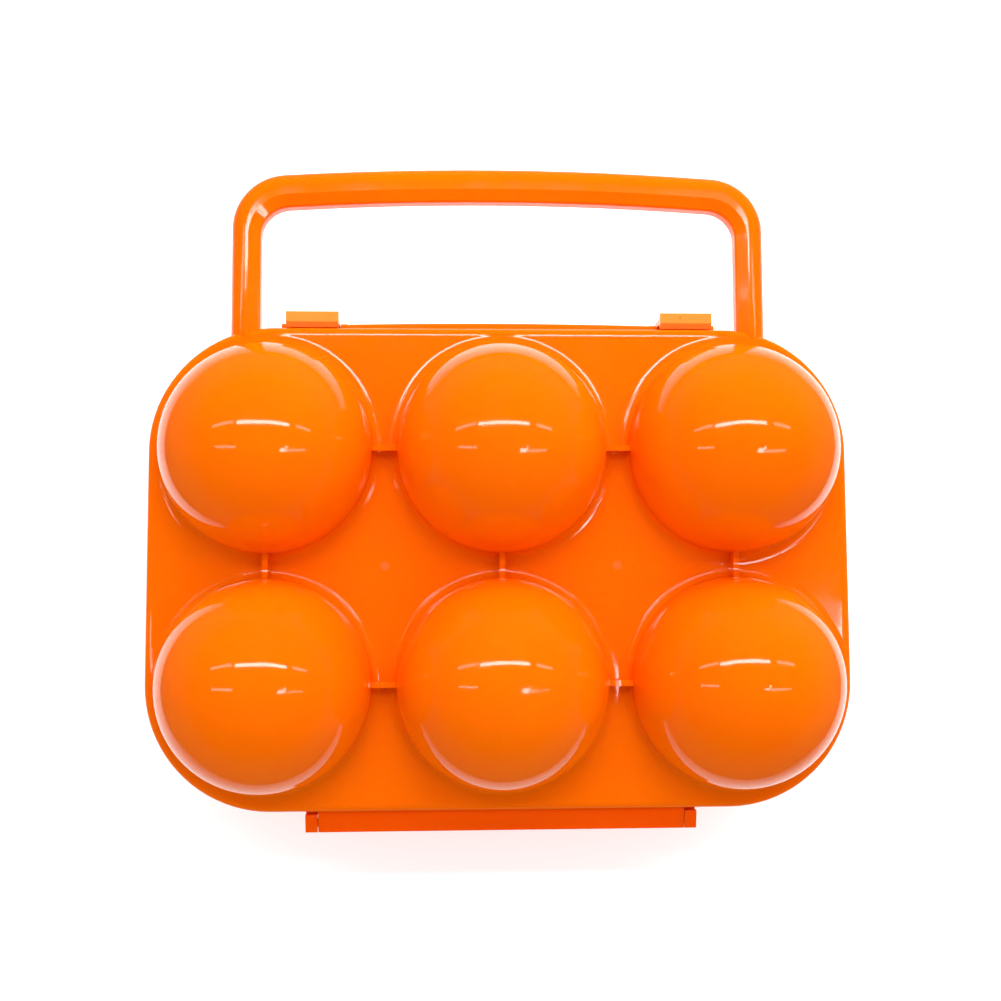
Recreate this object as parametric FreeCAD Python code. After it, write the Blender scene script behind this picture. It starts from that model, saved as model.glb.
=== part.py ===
import FreeCAD, Part
import math
import os

Vector = FreeCAD.Vector

# Egg storage box lying on its back half: a base and a lid with six egg cups each, hinged along one long edge,
# with a carrying handle on the lid and two snap latches on the base.
# X runs along the hinge, Y from the hinge to the handle, Z up. All sizes are in millimetres.

# Egg cups
cup_columns = 3
cup_rows = 2
cup_pitch = 58.5             # between the centres of neighbouring cups
cup_radius = 26.3            # outside of the upright wall and of the round end
cup_straight = 3.2           # upright wall between the plate and the round end
cup_root_round = 1.9         # hollow curve from the wall to the plate
shell_wall = 1.6             # plate and cups

# Rim of each half
side_margin = 3.7            # rim beyond the cups at the short sides
end_margin = 5.0             # rim beyond the cups at the hinge and handle sides
corner_margin = 5.2          # corner radius beyond the cup radius
rim_depth = 5.0              # from the parting face to the outside of the plate
rim_wall = 1.8
rim_round = 1.7              # outer edge of the plate
parting_gap = 0.1            # between the closed halves

# Webs that tie neighbouring cups together
web_height = 4.3             # above the plate
web_thickness = 1.4

# Hinge
hinge_width = 97.8           # over both end knuckles
hinge_bar_size = 4.6         # depth of bar and knuckles, and their height beside the rim
hinge_outer_height = 2.4     # their height at the outer face
hinge_bar_round = 0.6        # their long edges
hinge_swing_clearance = 0.36 # between the turning bar and the rim
end_knuckle_width = 3.0
knuckle_gap = 0.2
pin_radius = 1.0
pin_clearance = 0.05         # radial, where the bar turns on the pin
pin_recess = 0.5             # pin ends below the knuckle ends

# Handle
leg_inset = 19.75            # from the short side of the tray to the outside of a leg
leg_width = 7.7
grip_gap = 33.2              # finger room between the rim and the middle of the bar
bar_width = 9.2
bar_bow = 1.8                # rise of the bar between its corners
outer_corner = 14.3
inner_corner = 7.5
handle_outer_round = 4.3     # long front edge on the outside
handle_bevel_drop = 1.3      # fall of the slanted front from its crest to the finger room
handle_inner_round = 0.8     # long front edge around the finger room
handle_back_round = 0.5

# Snap latches
latch_width = 13.3
latch_leg_gap = 6.55         # from a handle leg to its latch
latch_thickness = 1.5
latch_top_drop = 0.8         # below the outside of the lid plate
latch_nose_height = 0.65     # blunt tip of the hook
latch_edge_round = 0.25
thumb_reach = 1.15           # thumb tip beyond the tongue
thumb_thickness = 1.1
thumb_slope = 0.4            # fall of the underside of the thumb tip
mark_radius = 0.45           # small round sink mark on one thumb tip
mark_depth = 0.3
mark_offset = 1.5            # from the middle of the latch
ledge_reach = 1.2            # catch ledge on the lid
ledge_height = 1.6
ledge_rise = 0.6             # from the parting face to the underside of the ledge
ledge_inset = 0.8            # at each end of the ledge, inside the latch width
hook_play = 0.15             # hook above ledge
tongue_play = 0.4            # tongue outside ledge
nose_play = 0.35             # hook tip before the lid rim
pivot_out = 1.2              # latch pivot outside the rim
pivot_drop = 2.6             # latch pivot below the parting face of the base
barrel_radius = 0.95
trunnion_radius = 0.6
trunnion_clearance = 0.05    # radial
ear_radius = 1.25
ear_thickness = 1.5
ear_gap = 0.25

# Finger lip on the base between the latches
lip_reach = 1.8              # at its ends
lip_bow = 0.5                # rise of its edge between the ends
lip_thickness = 1.6
lip_round = 0.5

# Cuts run past the faces they open by this much
overrun = 1.0

# Shares of a wall
root_limit_share = 0.9       # most of the upright cup wall that its root curve takes
seat_share = 0.5             # part of the rim wall that a fixed feature is rooted in
round_limit_share = 0.87     # most of a depth that one rounded edge takes
back_limit_share = 0.11      # most of it that a second, smaller one takes
bevel_share = 0.9            # part of a leg inside its outer rounded edge that is slanted
same_place_share = 1e-6      # of a shape's size, within which two places count as one

# Sizes that follow
tray_half_width = (cup_columns - 1) * cup_pitch / 2 + cup_radius + side_margin
tray_half_height = (cup_rows - 1) * cup_pitch / 2 + cup_radius + end_margin
tray_corner = cup_radius + corner_margin
half_thickness = rim_depth + cup_straight + cup_radius
base_face = half_thickness
lid_face = half_thickness + parting_gap
lid_plate = lid_face + rim_depth
rim_seat = tray_half_height - seat_share * rim_wall

hinge_half = hinge_bar_size / 2
hinge_slope = math.atan2(hinge_half - hinge_outer_height / 2, hinge_bar_size)
hinge_round_drop = hinge_bar_round * (1 + math.sin(hinge_slope)) / math.cos(hinge_slope)
hinge_swing = math.hypot(hinge_half - hinge_bar_round, hinge_half - hinge_round_drop) + hinge_bar_round
hinge_y = -(tray_half_height + hinge_swing + hinge_swing_clearance)
hinge_z = (base_face + lid_face) / 2

leg_outer = tray_half_width - leg_inset
leg_inner = leg_outer - leg_width
grip_y = tray_half_height + grip_gap
handle_top = grip_y + bar_width

latch_middle = leg_inner - latch_leg_gap - latch_width / 2
ledge_top = lid_face + ledge_rise + ledge_height
tongue_inner = tray_half_height + ledge_reach + tongue_play
tongue_outer = tongue_inner + latch_thickness
latch_top = lid_plate - latch_top_drop
pivot_y = tray_half_height + pivot_out
pivot_z = base_face - pivot_drop
ear_inner = latch_width / 2 + ear_gap
ear_outer = ear_inner + ear_thickness
lip_half = latch_middle - ear_inner

cup_places = [
    Vector((column - (cup_columns - 1) / 2) * cup_pitch, (row - (cup_rows - 1) / 2) * cup_pitch, 0)
    for row in range(cup_rows)
    for column in range(cup_columns)
]

# The origin is under the middle of the whole box, level with the tips of the base cups
origin_shift = Vector(0, -(handle_top + hinge_y - hinge_half) / 2, 0)

AXIS_X = Vector(1, 0, 0)
AXIS_Y = Vector(0, 1, 0)
AXIS_Z = Vector(0, 0, 1)


def block(low, high):
    """Box between two corners."""
    size = high - low
    return Part.makeBox(size.x, size.y, size.z, low)


def rod(radius, left, right, y, z):
    """Round bar along X."""
    return Part.makeCylinder(radius, right - left, Vector(left, y, z), AXIS_X)


def rounded_slab(half_x, half_y, corner, low, high):
    """Upright block with four rounded corners, centred on Z."""
    arcs = []
    for quarter in range(4):
        side_x = 1 if quarter in (0, 3) else -1
        side_y = 1 if quarter in (0, 1) else -1
        middle = Vector(side_x * (half_x - corner), side_y * (half_y - corner), low)
        arcs.append(Part.makeCircle(corner, middle, AXIS_Z, 90 * quarter, 90 * quarter + 90))
    edges = []
    for arc, following in zip(arcs, arcs[1:] + arcs[:1]):
        edges.append(arc)
        edges.append(Part.makeLine(arc.lastVertex().Point, following.firstVertex().Point))
    return Part.Face(Part.Wire(edges)).extrude(Vector(0, 0, high - low))


def level_edges(shape, level):
    """Edges of a shape that lie in one level plane."""
    tolerance = shape.BoundBox.DiagonalLength * same_place_share
    return [
        edge for edge in shape.Edges
        if abs(edge.BoundBox.ZMin - level) < tolerance and abs(edge.BoundBox.ZMax - level) < tolerance
    ]


def edges_on(shape, wire):
    """Edges of a shape whose middles lie on a wire."""
    tolerance = wire.BoundBox.DiagonalLength * same_place_share
    found = []
    for edge in shape.Edges:
        middle = edge.valueAt((edge.FirstParameter + edge.LastParameter) / 2)
        if wire.distToShape(Part.Vertex(middle))[0] < tolerance:
            found.append(edge)
    return found


def tray_slab(inset, low, high):
    """Outline of the tray, drawn in by an inset, between two levels."""
    return rounded_slab(tray_half_width - inset, tray_half_height - inset, tray_corner - inset, low, high)


def turned(edges):
    """Solid of revolution about Z from a profile in the XZ plane."""
    return Part.Face(Part.Wire(edges)).revolve(Vector(0, 0, 0), AXIS_Z, 360)


def dome_arc(radius, level):
    """Quarter circle from the wall of a cup to its tip."""
    diagonal = radius * math.sqrt(0.5)
    wall = Vector(radius, 0, level)
    tip = Vector(0, 0, level + radius)
    return Part.Arc(wall, Vector(diagonal, 0, level + diagonal), tip).toShape()


def cup_outside():
    """Outside of one cup, with the hollow curve at its root, from inside the plate to the tip."""
    root = min(cup_root_round, root_limit_share * cup_straight)
    foot = rim_depth - seat_share * shell_wall
    hollow = root * (1 - math.sqrt(0.5))
    plate_edge = Vector(cup_radius + root, 0, rim_depth)
    wall_low = Vector(cup_radius, 0, rim_depth + root)
    wall_high = Vector(cup_radius, 0, rim_depth + cup_straight)
    tip = Vector(0, 0, half_thickness)
    axis_foot = Vector(0, 0, foot)
    edge_foot = Vector(cup_radius + root, 0, foot)
    middle = Vector(cup_radius + hollow, 0, rim_depth + hollow)
    return turned([
        Part.makeLine(axis_foot, edge_foot),
        Part.makeLine(edge_foot, plate_edge),
        Part.Arc(plate_edge, middle, wall_low).toShape(),
        Part.makeLine(wall_low, wall_high),
        dome_arc(cup_radius, rim_depth + cup_straight),
        Part.makeLine(tip, axis_foot),
    ])


def cup_inside():
    """Hollow of one cup, from below the parting face to its round end."""
    radius = cup_radius - shell_wall
    spring = rim_depth + cup_straight
    axis_low = Vector(0, 0, -overrun)
    wall_low = Vector(radius, 0, -overrun)
    wall_high = Vector(radius, 0, spring)
    return turned([
        Part.makeLine(axis_low, wall_low),
        Part.makeLine(wall_low, wall_high),
        dome_arc(radius, spring),
        Part.makeLine(Vector(0, 0, spring + radius), axis_low),
    ])


def webs():
    """Upright webs from each cup to the next in its row and column."""
    reach = Vector(web_thickness / 2, web_thickness / 2, 0)
    low = Vector(0, 0, rim_depth - seat_share * shell_wall)
    high = Vector(0, 0, rim_depth + web_height)
    found = []
    for first in cup_places:
        for step in (AXIS_X * cup_pitch, AXIS_Y * cup_pitch):
            second = first + step
            if any(second.isEqual(place, web_thickness) for place in cup_places):
                found.append(block(first - reach + low, second + reach + high))
    return found


def half_shell():
    """One half with its parting face at level zero and its cups upwards."""
    slab = tray_slab(0, 0, rim_depth)
    slab = slab.makeFillet(rim_round, level_edges(slab, rim_depth))
    outside = cup_outside()
    inside = cup_inside()
    solid = slab.fuse([outside.translated(place) for place in cup_places] + webs())
    hollow = tray_slab(rim_wall, -overrun, rim_depth - shell_wall)
    return solid.cut([hollow] + [inside.translated(place) for place in cup_places])


def hinge_bar(left, right, side):
    """Hinge bar between two places along X, rooted in the rim of the lid (side 1) or of the base (side -1)."""
    inner = hinge_y + hinge_half
    outer = hinge_y - hinge_half
    root_rise = hinge_half + (-rim_seat - inner) * math.tan(hinge_slope)
    points = [
        (-rim_seat, parting_gap / 2),
        (-rim_seat, root_rise),
        (outer, hinge_outer_height / 2),
        (outer, -hinge_outer_height / 2),
        (inner, -hinge_half),
        (inner, parting_gap / 2),
    ]
    corners = [Vector(left, y, hinge_z + side * rise) for y, rise in points]
    bar = Part.Face(Part.makePolygon(corners + corners[:1])).extrude(AXIS_X * (right - left))
    free_edges = []
    for corner in corners[2:5]:
        free_edges += edges_on(bar, Part.makeLine(corner, corner + AXIS_X * (right - left)))
    size = min(hinge_bar_round, round_limit_share * hinge_outer_height / 2)
    return bar.makeFillet(size, free_edges)


def hinge_pin():
    """Pin through the whole hinge."""
    reach = hinge_width / 2 - pin_recess
    return rod(pin_radius, -reach, reach, hinge_y, hinge_z)


def arch(half_width, crown, corner, foot):
    """Edges of an upside-down U with a bowed top, from its left foot to its right foot."""
    half_chord = half_width - corner
    bow_radius = (half_chord ** 2 + bar_bow ** 2) / (2 * bar_bow)
    bow_middle = crown - bow_radius
    rise = math.sqrt((bow_radius - corner) ** 2 - half_chord ** 2)
    corner_middle = Vector(half_chord, bow_middle + rise, 0)
    outward = Vector(half_chord, rise, 0).normalize()
    half_turn = math.atan2(rise, half_chord) / 2
    shoulder = corner_middle + outward * corner
    knee = corner_middle + Vector(math.cos(half_turn), math.sin(half_turn), 0) * corner
    hip = corner_middle + AXIS_X * corner
    sole = Vector(half_width, foot, 0)

    def left(point):
        return Vector(-point.x, point.y, 0)

    return [
        Part.makeLine(left(sole), left(hip)),
        Part.Arc(left(hip), left(knee), left(shoulder)).toShape(),
        Part.Arc(left(shoulder), Vector(0, crown, 0), shoulder).toShape(),
        Part.Arc(shoulder, knee, hip).toShape(),
        Part.makeLine(hip, sole),
    ]


def carry_handle():
    """U-shaped handle with its crest flush with the lid plate, whose legs end at the inside of the lid rim."""
    outer = arch(leg_outer, handle_top, outer_corner, 0)
    inner = arch(leg_inner, grip_y, inner_corner, 0)
    soles = [
        Part.makeLine(Vector(side * leg_inner, 0, 0), Vector(side * leg_outer, 0, 0))
        for side in (-1, 1)
    ]
    outline = Part.Wire(Part.sortEdges(outer + inner + soles)[0])
    handle = Part.Face(outline).extrude(Vector(0, 0, rim_depth))
    outer_wire = Part.Wire(outer).translated(AXIS_Z * rim_depth)
    inner_wire = Part.Wire(inner).translated(AXIS_Z * rim_depth)
    slim = min(rim_depth, leg_width)
    outer_round = min(handle_outer_round, round_limit_share * slim)
    bevel_width = bevel_share * (leg_width - outer_round)
    handle = handle.makeChamfer(handle_bevel_drop, bevel_width, edges_on(handle, inner_wire))
    bevel_foot = inner_wire.translated(-AXIS_Z * handle_bevel_drop)
    inner_round = min(handle_inner_round, round_limit_share * slim)
    for wire, size in ((outer_wire, outer_round), (bevel_foot, inner_round)):
        handle = handle.makeFillet(size, edges_on(handle, wire))
    back_round = min(handle_back_round, back_limit_share * slim)
    for wire in (outer_wire, inner_wire):
        wire.translate(-AXIS_Z * rim_depth)
        handle = handle.makeFillet(back_round, edges_on(handle, wire))
    handle = handle.cut(tray_slab(rim_wall, -overrun, rim_depth + overrun))
    return handle.translated(AXIS_Z * lid_face)


def latch(middle, marked):
    """Snap tongue with its hook, thumb tip and pivot barrel."""
    nose = tray_half_height + nose_play
    hook_low = ledge_top + hook_play
    tip = tongue_outer + thumb_reach
    thumb_low = latch_top - thumb_thickness
    points = [
        (pivot_y, pivot_z - barrel_radius),
        (tongue_outer, pivot_z - barrel_radius),
        (tongue_outer, thumb_low - thumb_slope),
        (tip, thumb_low),
        (tip, latch_top),
        (tongue_inner, latch_top),
        (nose, hook_low + latch_nose_height),
        (nose, hook_low),
        (tongue_inner, hook_low),
        (tongue_inner, pivot_z + barrel_radius),
        (pivot_y, pivot_z + barrel_radius),
    ]
    left = middle - latch_width / 2
    right = middle + latch_width / 2
    corners = [Vector(left, y, z) for y, z in points]
    tongue = Part.Face(Part.makePolygon(corners + corners[:1])).extrude(AXIS_X * latch_width)
    free_edges = [
        edge for edge in tongue.Edges
        if edge.BoundBox.XLength > latch_width / 2
        and max(abs(edge.CenterOfMass.y - pivot_y), abs(edge.CenterOfMass.z - pivot_z)) > ear_radius
    ]
    tongue = tongue.makeFillet(latch_edge_round, free_edges)
    barrel = rod(barrel_radius, left, right, pivot_y, pivot_z)
    trunnions = rod(trunnion_radius, middle - ear_outer, middle + ear_outer, pivot_y, pivot_z)
    solid = tongue.fuse([barrel, trunnions])
    if marked:
        spot = Vector(middle - mark_offset, (tongue_inner + tip) / 2, latch_top - mark_depth)
        solid = solid.cut(Part.makeCylinder(mark_radius, mark_depth + overrun, spot))
    return solid


def latch_ears(middle):
    """Pair of ears on the base rim that hold the trunnions of one latch."""
    found = []
    for side in (-1, 1):
        ends = sorted((middle + side * ear_inner, middle + side * ear_outer))
        lug = rod(ear_radius, ends[0], ends[1], pivot_y, pivot_z)
        root = block(
            Vector(ends[0], rim_seat, pivot_z - ear_radius),
            Vector(ends[1], pivot_y, pivot_z + ear_radius),
        )
        found.append(lug.fuse(root))
    return found


def catch_ledge(middle):
    """Ledge on the lid rim that one latch hooks over."""
    half = latch_width / 2 - ledge_inset
    return block(
        Vector(middle - half, rim_seat, lid_face + ledge_rise),
        Vector(middle + half, tray_half_height + ledge_reach, ledge_top),
    )


def finger_lip():
    """Lip on the base rim for opening the box with a finger."""
    end = tray_half_height + lip_reach
    low = base_face - lip_thickness
    corners = [
        Vector(lip_half, end, low),
        Vector(lip_half, rim_seat, low),
        Vector(-lip_half, rim_seat, low),
        Vector(-lip_half, end, low),
    ]
    edge = Part.Arc(corners[3], Vector(0, end + lip_bow, low), corners[0]).toShape()
    lip = Part.Face(Part.Wire(Part.makePolygon(corners).Edges + [edge])).extrude(AXIS_Z * lip_thickness)
    outer = [
        edge for edge in lip.Edges
        if edge.BoundBox.YMin > tray_half_height and edge.BoundBox.XLength > lip_half
    ]
    return lip.makeFillet(min(lip_round, round_limit_share * lip_thickness / 2), outer)


def base_shell():
    """Lower half with the end knuckles of the hinge, the latch ears and the finger lip."""
    shell = half_shell()
    shell.rotate(Vector(0, 0, 0), AXIS_Y, 180)
    shell.translate(AXIS_Z * base_face)
    reach = hinge_width / 2
    features = [finger_lip()]
    for left in (-reach, reach - end_knuckle_width):
        features.append(hinge_bar(left, left + end_knuckle_width, -1))
    for middle in (-latch_middle, latch_middle):
        features += latch_ears(middle)
    bores = [rod(pin_radius, -reach - overrun, reach + overrun, hinge_y, hinge_z)]
    radius = trunnion_radius + trunnion_clearance
    past_ear = ear_outer + overrun
    for middle in (-latch_middle, latch_middle):
        bores.append(rod(radius, middle - past_ear, middle + past_ear, pivot_y, pivot_z))
    return shell.fuse(features).cut(bores)


def lid_shell(handle):
    """Upper half with the long hinge bar, the catch ledges and the seats of the handle legs."""
    shell = half_shell().translated(AXIS_Z * lid_face)
    reach = hinge_width / 2 - end_knuckle_width - knuckle_gap
    features = [hinge_bar(-reach, reach, 1)]
    for middle in (-latch_middle, latch_middle):
        features.append(catch_ledge(middle))
    bore = rod(pin_radius + pin_clearance, -reach - overrun, reach + overrun, hinge_y, hinge_z)
    return shell.fuse(features).cut([bore, handle])


handle = carry_handle()
pieces = {
    "base_shell": base_shell(),
    "lid_shell": lid_shell(handle),
    "carry_handle": handle,
    "hinge_pin": hinge_pin(),
    "latch_left": latch(-latch_middle, False),
    "latch_right": latch(latch_middle, True),
}

os.makedirs("parts", exist_ok=True)
for name, shape in pieces.items():
    placed = shape.translated(origin_shift)
    placed.exportStep("parts/" + name + ".step")
    box = placed.BoundBox
    print(name, len(placed.Solids), placed.isValid(), round(placed.Volume, 1))
    print("  from", round(box.XMin, 2), round(box.YMin, 2), round(box.ZMin, 2))
    print("  to", round(box.XMax, 2), round(box.YMax, 2), round(box.ZMax, 2))
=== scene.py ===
import bpy
from mathutils import Matrix, Vector

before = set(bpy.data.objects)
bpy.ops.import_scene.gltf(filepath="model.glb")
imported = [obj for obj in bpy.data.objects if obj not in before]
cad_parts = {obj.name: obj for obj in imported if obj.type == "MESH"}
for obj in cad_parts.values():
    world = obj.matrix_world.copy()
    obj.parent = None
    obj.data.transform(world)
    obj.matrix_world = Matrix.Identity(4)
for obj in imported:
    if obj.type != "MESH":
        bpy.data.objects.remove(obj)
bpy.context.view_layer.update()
scene = bpy.context.scene

# Lengths are in metres, lamp powers in watts, colours in linear red, green and blue

# Camera: almost straight above the lid, a little to the left and towards the hinge
camera_place = Vector((-0.01423, -0.02667, 0.35359))
camera_target = Vector((-0.00020, -0.00205, 0.03960))
camera_up = Vector((0.00111, 0.99693, 0.07824))
camera_focal_pixels = 1250.0
image_pixels = 1001
sensor_width_mm = 36.0
clip_near = 0.01
clip_far = 20.0

# White, directions and the axes of the plate
white = (1, 1, 1, 1)
north = Vector((0, 1, 0))
upwards = Vector((0, 0, 1))
flat_axes = Vector((1, 1, 0))

# Orange plastic
shell_colour = (0.98, 0.155, 0.0004, 1)
shell_deep_colour = (0.95, 0.138, 0.0003, 1)
# Painted light: the latches are a paler copy of the orange plastic, standing in for light glowing in the
# thin tabs
latch_lit_colour = (0.98, 0.290, 0.0450, 1)
latch_lit_deep_colour = (0.96, 0.260, 0.0350, 1)
scatter_radius_shares = (1.0, 0.22, 0.04)
scatter_depth = 0.004
scatter_share = 0.35
flow_size = 0.045            # cloudy streaks left by the flow of the plastic
flow_detail = 3
flow_shares = (0.30, 0.70)   # part of the noise that they show
speck_size = 0.0006          # pigment grains
speck_detail = 1
speck_shares = (0.62, 0.75)
speck_strength_share = 0.25
haze_size = 0.006            # patches of slightly different gloss
haze_detail = 4
haze_shares = (0.35, 0.70)
haze_roughness = (0.045, 0.085)
wave_size = 0.011            # shallow waves in the moulded surface
wave_detail = 1
wave_height = 0.00006
grain_size = 0.0004          # fine grain of the mould
grain_detail = 2
grain_height = 0.0000015

# Soft run-out of the curve at the foot of each cup
cup_pitch = 0.0585
tray_middle = Vector((0, -0.01842, 0))
apron_radii = (0.0279, 0.0298)
apron_height = 0.00019

# Soft fall of the plate towards its outer edge
tray_half_size = Vector((0.0885, 0.06055, 0))
tray_corner = 0.0315
edge_fall_start = 0.0023     # in from the outer edge
edge_fall_end = 0.0012
edge_fall_height = 0.00008

# Round marks of the moulding pins in the valleys between the cups
mark_places = [tray_middle + side * Vector((cup_pitch / 2, 0, 0)) for side in (-1, 1)]
mark_radius = 0.0009
mark_edge = 0.0004
mark_paleness_share = 0.03

# Painted shade: the hinge band along the lower edge is coloured a deeper red orange for the shade it sits
# in
hinge_shade_colour = (0.98, 0.087, 0.0004, 1)
hinge_shade_line_y = -0.0790
hinge_shade_blend = 0.0003

# Floor, surroundings and lamps
floor_size = 6.0
sheet_size = 0.33            # white sheet under the part, the only floor that shows in reflections
sheet_fade_shares = (1.5, 3.0)  # of the half tray, from where to where its reflection fades out
floor_drop = 0.0002
sheet_drop = 0.0001
floor_colour = (0.9, 0.9, 0.9, 1)
floor_glow = 0.36            # added where the floor is seen directly or in a reflection
floor_roughness = 0.9
ambient_level = 0.72
mirrored_horizon_level = 0.10
mirrored_zenith_level = 0.005
mirrored_horizon_end = 0.35  # sine of the angle above the horizon
part_middle = Vector((0, 0, 0.03))
key_place = Vector((0.16, 0.50, 0.37))
key_length = 0.8
key_width = 0.4
key_watts = 4.4
strip_level = 0.68           # height of the lamp strips that show as lines and sparks on the plastic
lamp_strips = {
    "strip": {"left": -0.33, "right": 0.33, "y": 0.249, "width": 0.047, "watts": 1.55},
    "strip_left": {"left": -0.82, "right": -0.38, "y": 0.268, "width": 0.047, "watts": 0.25},
    "strip_right": {"left": 0.45, "right": 0.82, "y": 0.255, "width": 0.047, "watts": 0.25},
    "side_left": {"left": -0.72, "right": -0.34, "y": -0.052, "width": 0.028, "watts": 0.16},
    "side_right": {"left": 0.29, "right": 0.66, "y": -0.098, "width": 0.034, "watts": 0.16},
    "side_right_end": {"left": 0.20, "right": 0.28, "y": -0.088, "width": 0.050, "watts": 0.16},
    "spark": {"left": 0.288, "right": 0.298, "y": -0.057, "width": 0.044, "watts": 0.040},
}


def look_from(place, target, up):
    """Turn and place that look from one point at another, with a chosen direction upwards."""
    back = (place - target).normalized()
    right = up.cross(back).normalized()
    turn = Matrix((right, back.cross(right), back)).transposed()
    return Matrix.Translation(place) @ turn.to_4x4()


def make_camera():
    data = bpy.data.cameras.new("camera")
    data.sensor_width = sensor_width_mm
    data.lens = sensor_width_mm * camera_focal_pixels / image_pixels
    data.clip_start = clip_near
    data.clip_end = clip_far
    camera = bpy.data.objects.new("camera", data)
    camera.matrix_world = look_from(camera_place, camera_target, camera_up)
    scene.collection.objects.link(camera)
    scene.camera = camera


class Tree:
    """Short ways to add nodes to a material or a world. Sockets whose names repeat go by their number."""

    def __init__(self, owner):
        owner.use_nodes = True
        self.nodes = owner.node_tree.nodes
        self.links = owner.node_tree.links

    def set_input(self, node, key, value):
        if isinstance(value, bpy.types.NodeSocket):
            self.links.new(value, node.inputs[key])
        else:
            node.inputs[key].default_value = value

    def add(self, kind, inputs, **settings):
        node = self.nodes.new("ShaderNode" + kind)
        for key, value in settings.items():
            setattr(node, key, value)
        for key, value in inputs.items():
            self.set_input(node, key, value)
        return node

    def math(self, operation, first, second=0.0):
        return self.add("Math", {0: first, 1: second}, operation=operation).outputs[0]

    def vector(self, operation, first, second=(0, 0, 0)):
        outputs = self.add("VectorMath", {0: first, 1: second}, operation=operation).outputs
        return outputs["Value" if operation in ("LENGTH", "DISTANCE") else "Vector"]

    def noise(self, places, size, detail):
        return self.add("TexNoise", {"Vector": places, "Scale": 1 / size, "Detail": detail}).outputs["Fac"]

    def mix(self, share, first, second):
        return self.add("Mix", {0: share, 6: first, 7: second}, data_type="RGBA").outputs[2]

    def spread(self, value, source, goal):
        inputs = {"Value": value, "From Min": source[0], "From Max": source[1]}
        inputs.update({"To Min": goal[0], "To Max": goal[1]})
        return self.add("MapRange", inputs).outputs[0]

    def bump(self, height, distance, before=None):
        inputs = {"Strength": 1, "Distance": distance, "Height": height}
        if before:
            inputs["Normal"] = before
        return self.add("Bump", inputs).outputs[0]


def cup_distance(tree, places):
    """Distance from the axis of the nearest cup."""
    split = tree.add("SeparateXYZ", {0: places}).outputs
    across = tree.math("ABSOLUTE", split["X"])
    outer = tree.math("ABSOLUTE", tree.math("SUBTRACT", across, cup_pitch))
    across = tree.math("MINIMUM", across, outer)
    along = tree.math("ABSOLUTE", tree.math("SUBTRACT", split["Y"], tray_middle.y))
    along = tree.math("SUBTRACT", along, cup_pitch / 2)
    flat = tree.add("CombineXYZ", {"X": across, "Y": along}).outputs[0]
    return tree.vector("LENGTH", flat)


def cup_aprons(tree, places, before):
    """Normal with the soft run-out around each cup."""
    near = tree.spread(cup_distance(tree, places), apron_radii, (1, 0))
    return tree.bump(tree.math("MULTIPLY", near, near), apron_height, before)


def edge_fall(tree, places, before):
    """Normal with the soft fall of the plate beside its outer edge."""
    one_corner = tree.vector("ABSOLUTE", tree.vector("SUBTRACT", places, tray_middle))
    corner_middle = tray_half_size - Vector((tray_corner, tray_corner, 0))
    past = tree.vector("MAXIMUM", tree.vector("SUBTRACT", one_corner, corner_middle))
    radius = tree.vector("LENGTH", tree.vector("MULTIPLY", past, flat_axes))
    fall = tree.spread(radius, (tray_corner - edge_fall_start, tray_corner - edge_fall_end), (0, 1))
    return tree.bump(tree.math("MULTIPLY", fall, fall), -edge_fall_height, before)


def pin_marks(tree, places, paint):
    """Paint with the pale round marks of the moulding pins."""
    flat = tree.vector("MULTIPLY", places, flat_axes)
    for place in mark_places:
        away = tree.vector("DISTANCE", flat, place)
        pale = tree.spread(away, (mark_radius, mark_radius + mark_edge), (mark_paleness_share, 0))
        paint = tree.mix(pale, paint, white)
    return paint


def paint_hinge_shade(tree, places, paint):
    """Paint the hinge band a deeper red orange as painted shade."""
    height = tree.add("SeparateXYZ", {0: places}).outputs["Y"]
    share = tree.spread(height, (hinge_shade_line_y - hinge_shade_blend, hinge_shade_line_y), (1, 0))
    return tree.mix(share, paint, hinge_shade_colour)


def plastic(name, colour, deep_colour, with_cups):
    """Glossy moulded plastic: cloudy colour, pigment grains, uneven gloss, slightly wavy surface."""
    material = bpy.data.materials.new(name)
    tree = Tree(material)
    shader = tree.nodes["Principled BSDF"]
    places = tree.add("TexCoord", {}).outputs["Object"]
    flow = tree.spread(tree.noise(places, flow_size, flow_detail), flow_shares, (0, 1))
    paint = tree.mix(flow, deep_colour, colour)
    specks = tree.noise(places, speck_size, speck_detail)
    specks = tree.spread(specks, speck_shares, (0, speck_strength_share))
    paint = tree.mix(specks, paint, deep_colour)
    normal = tree.bump(tree.noise(places, wave_size, wave_detail), wave_height)
    if with_cups:
        paint = pin_marks(tree, places, paint)
        # painted shade: deeper red orange on the hinge band
        paint = paint_hinge_shade(tree, places, paint)
        normal = cup_aprons(tree, places, normal)
        normal = edge_fall(tree, places, normal)
    normal = tree.bump(tree.noise(places, grain_size, grain_detail), grain_height, normal)
    tree.set_input(shader, "Base Color", paint)
    roughness = tree.spread(tree.noise(places, haze_size, haze_detail), haze_shares, haze_roughness)
    tree.set_input(shader, "Roughness", roughness)
    tree.set_input(shader, "Normal", normal)
    tree.set_input(shader, "Subsurface Weight", scatter_share)
    tree.set_input(shader, "Subsurface Radius", scatter_radius_shares)
    tree.set_input(shader, "Subsurface Scale", scatter_depth)
    return material


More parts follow.
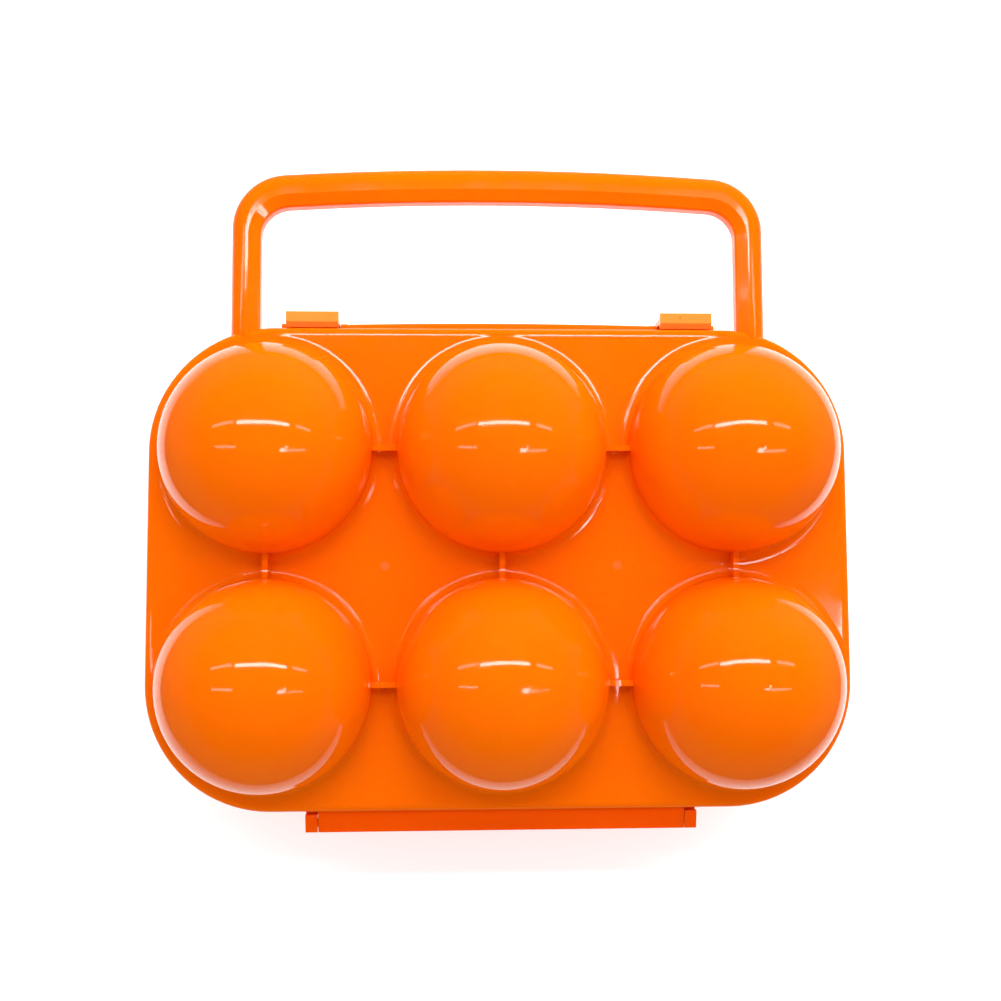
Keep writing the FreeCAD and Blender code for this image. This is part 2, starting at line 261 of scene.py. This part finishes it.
def floor_material(name, faded):
    """Pale matt floor, white where it is seen, with a reflection that may fade away from the part."""
    material = bpy.data.materials.new(name)
    tree = Tree(material)
    shader = tree.nodes["Principled BSDF"]
    tree.set_input(shader, "Base Color", floor_colour)
    tree.set_input(shader, "Roughness", floor_roughness)
    tree.set_input(shader, "Specular IOR Level", 0)
    tree.set_input(shader, "Emission Color", white)
    path = tree.add("LightPath", {}).outputs
    seen = tree.math("MAXIMUM", path["Is Camera Ray"], path["Is Transmission Ray"])
    seen = tree.math("MAXIMUM", seen, path["Is Glossy Ray"])
    tree.set_input(shader, "Emission Strength", tree.math("MULTIPLY", seen, floor_glow))
    if faded:
        places = tree.add("TexCoord", {}).outputs["Object"]
        from_middle = tree.vector("SUBTRACT", places, tray_middle)
        sizes = (tray_half_size.x, tray_half_size.y, 1)
        shares = tree.vector("DIVIDE", from_middle, sizes)
        missing = tree.spread(tree.vector("LENGTH", shares), sheet_fade_shares, (0, 1))
        missing = tree.math("MULTIPLY", missing, path["Is Glossy Ray"])
        tree.set_input(shader, "Alpha", tree.math("SUBTRACT", 1, missing))
    return material


def make_floor(name, size, drop, material, mirrored):
    half = size / 2
    mesh = bpy.data.meshes.new(name)
    corners = [(-half, -half, 0), (half, -half, 0), (half, half, 0), (-half, half, 0)]
    mesh.from_pydata(corners, [], [range(len(corners))])
    mesh.materials.append(material)
    floor = bpy.data.objects.new(name, mesh)
    floor.location.z = -drop
    floor.visible_glossy = mirrored
    scene.collection.objects.link(floor)


def make_world():
    """White for the camera, an even light on the part, and dark overhead in reflections."""
    world = bpy.data.worlds.new("world")
    scene.world = world
    tree = Tree(world)
    direction = tree.add("TexCoord", {}).outputs["Generated"]
    height = tree.add("SeparateXYZ", {0: direction}).outputs["Z"]
    mirrored_levels = (mirrored_horizon_level, mirrored_zenith_level)
    mirrored = tree.spread(height, (0, mirrored_horizon_end), mirrored_levels)
    path = tree.add("LightPath", {}).outputs
    levels = {0: path["Is Glossy Ray"], 2: ambient_level, 3: mirrored}
    level = tree.add("Mix", levels, data_type="FLOAT").outputs[0]
    background = tree.nodes["Background"]
    tree.set_input(background, "Color", white)
    tree.set_input(background, "Strength", tree.math("MAXIMUM", path["Is Camera Ray"], level))


def area_lamp(name, place, target, length, width, watts, mirrored):
    data = bpy.data.lights.new(name, "AREA")
    data.shape = "RECTANGLE"
    data.size = length
    data.size_y = width
    data.energy = watts
    lamp = bpy.data.objects.new(name, data)
    lamp.matrix_world = look_from(place, target, north)
    lamp.visible_camera = False
    lamp.visible_glossy = mirrored
    scene.collection.objects.link(lamp)


def lamp_strip(name, left, right, y, width, watts):
    """Level lamp strip that shines straight down."""
    place = Vector(((left + right) / 2, y, strip_level))
    area_lamp(name, place, place - upwards, right - left, width, watts, True)


make_camera()
make_world()
make_floor("floor", floor_size, floor_drop, floor_material("floor", False), False)
make_floor("sheet", sheet_size, sheet_drop, floor_material("sheet", True), True)
area_lamp("key", key_place, part_middle, key_length, key_width, key_watts, False)
for name, sizes in lamp_strips.items():
    lamp_strip(name, **sizes)

shell = plastic("shell_plastic", shell_colour, shell_deep_colour, True)
plain = plastic("handle_plastic", shell_colour, shell_deep_colour, False)
# painted light: the latch plastic is made paler for the light glowing in the thin tabs
pale = plastic("latch_plastic", latch_lit_colour, latch_lit_deep_colour, False)
looks = {"base_shell": shell, "lid_shell": shell, "latch_left": pale, "latch_right": pale}
for name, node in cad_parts.items():
    node.data.materials.clear()
    node.data.materials.append(looks.get(name, plain))

scene.view_settings.view_transform = "Standard"
